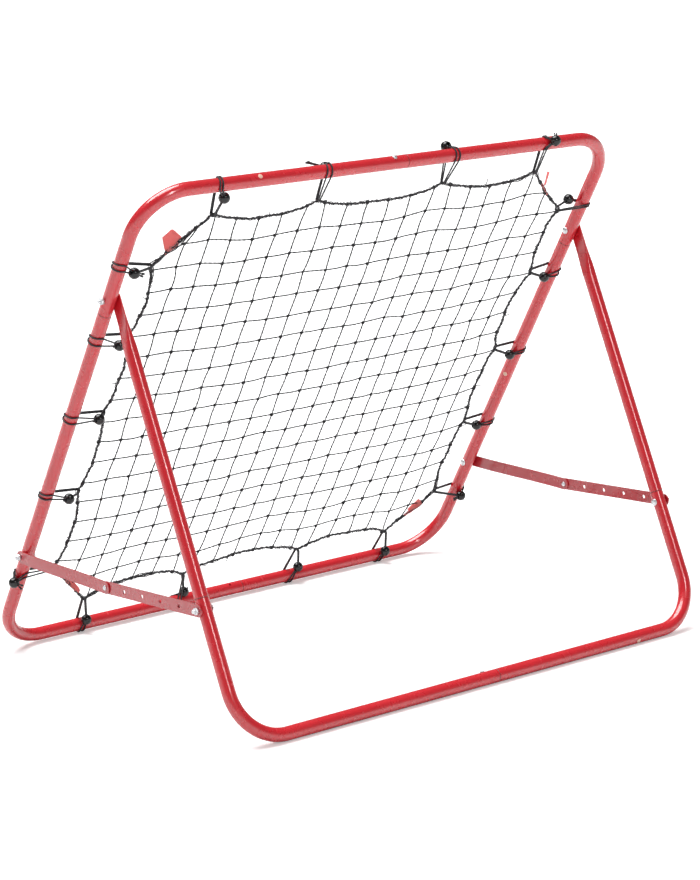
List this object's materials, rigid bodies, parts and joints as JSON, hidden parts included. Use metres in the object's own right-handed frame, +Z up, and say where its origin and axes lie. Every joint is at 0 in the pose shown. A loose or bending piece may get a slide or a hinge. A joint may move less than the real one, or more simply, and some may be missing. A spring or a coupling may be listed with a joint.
{
  "type": "pitch back rebounder",
  "caption": "Square red tube frame with a knotted net tied in by ball bungees, leaning on a hinged U-shaped stand that lapped two-bar stays hold open at a chosen angle.",
  "frame": {"origin": "on the ground under the middle of the object's bounding box, with the stand at its widest setting", "axes": "+Z up; -Y towards the thrower, where the net leans away; +X to the right as seen from the thrower"},
  "size_m": [1.0001, 0.705, 0.8355],
  "materials": {
    "powder_red": "glossy red powder coat with fine orange peel",
    "zinc": "bright zinc plate",
    "twine_black": "knotted braided polyethylene twine",
    "cord_black": "braided elastic cord",
    "ball_black": "moulded black plastic, semi-gloss",
    "tag_red": "woven red nylon tape",
    "plug_pale": "pale moulded plastic"
  },
  "bodies": {
    "main_frame": {"upper_right_frame_tube": "powder_red", "upper_left_frame_tube": "powder_red", "lower_right_frame_tube": "powder_red", "lower_left_frame_tube": "powder_red", "pivot_bolts": "zinc", "pivot_nuts": "zinc", "frame_stay_bolts": "zinc", "frame_stay_nuts": "zinc", "frame_joint_screws": "zinc", "frame_hole_plugs": "plug_pale", "net_border_cord": "twine_black", "net_corner_tags": "tag_red", "bungee_cords": "cord_black", "bungee_balls": "ball_black"},
    "stand": {"right_stand_leg": "powder_red", "left_stand_leg": "powder_red", "right_base_tube": "powder_red", "left_base_tube": "powder_red", "stand_stay_bolts": "zinc", "stand_stay_nuts": "zinc", "base_joint_screw": "zinc", "base_hole_plug": "plug_pale"},
    "right_front_stay": {"right_front_stay_bar": "powder_red", "right_lap_bolt": "zinc", "right_lap_nut": "zinc"},
    "left_front_stay": {"left_front_stay_bar": "powder_red", "left_lap_bolt": "zinc", "left_lap_nut": "zinc"},
    "right_rear_stay": {"right_rear_stay_bar": "powder_red"},
    "left_rear_stay": {"left_rear_stay_bar": "powder_red"},
    "net": {"net_panel": "twine_black"}
  },
  "joints": [
    {"name": "stand_fold", "type": "hinge", "parent": "main_frame", "child": "stand", "pos_m": [0, 0.04626, 0.64372], "axis": [-1, 0, 0], "range_deg": [0, 24.38]},
    {"name": "right_front_stay_swing", "type": "hinge", "parent": "main_frame", "child": "right_front_stay", "pos_m": [0, -0.233, 0.18622], "axis": [-1, 0, 0], "range_deg": [0, 5.48]},
    {"name": "right_rear_stay_swing", "type": "hinge", "parent": "stand", "child": "right_rear_stay", "pos_m": [0, 0.25232, 0.20136], "axis": [-1, 0, 0], "range_deg": [-14.19, 0]},
    {"name": "left_front_stay_swing", "type": "hinge", "parent": "main_frame", "child": "left_front_stay", "pos_m": [0, -0.233, 0.18622], "axis": [-1, 0, 0], "range_deg": [0, 5.48]},
    {"name": "left_rear_stay_swing", "type": "hinge", "parent": "stand", "child": "left_rear_stay", "pos_m": [0, 0.25232, 0.20136], "axis": [-1, 0, 0], "range_deg": [-14.19, 0]},
    {"name": "net_rebound", "type": "slide", "parent": "main_frame", "child": "net", "axis": [0, 0.8536, -0.521], "range_m": [-0.03, 0.09], "stiffness_N_per_m": 1500}
  ],
  "couplings": [
    {"joint": "right_front_stay_swing", "follows": "stand_fold", "ratio": 0.22456},
    {"joint": "right_rear_stay_swing", "follows": "stand_fold", "ratio": -0.58179},
    {"joint": "left_front_stay_swing", "follows": "stand_fold", "ratio": 0.22456},
    {"joint": "left_rear_stay_swing", "follows": "stand_fold", "ratio": -0.58179}
  ]
}
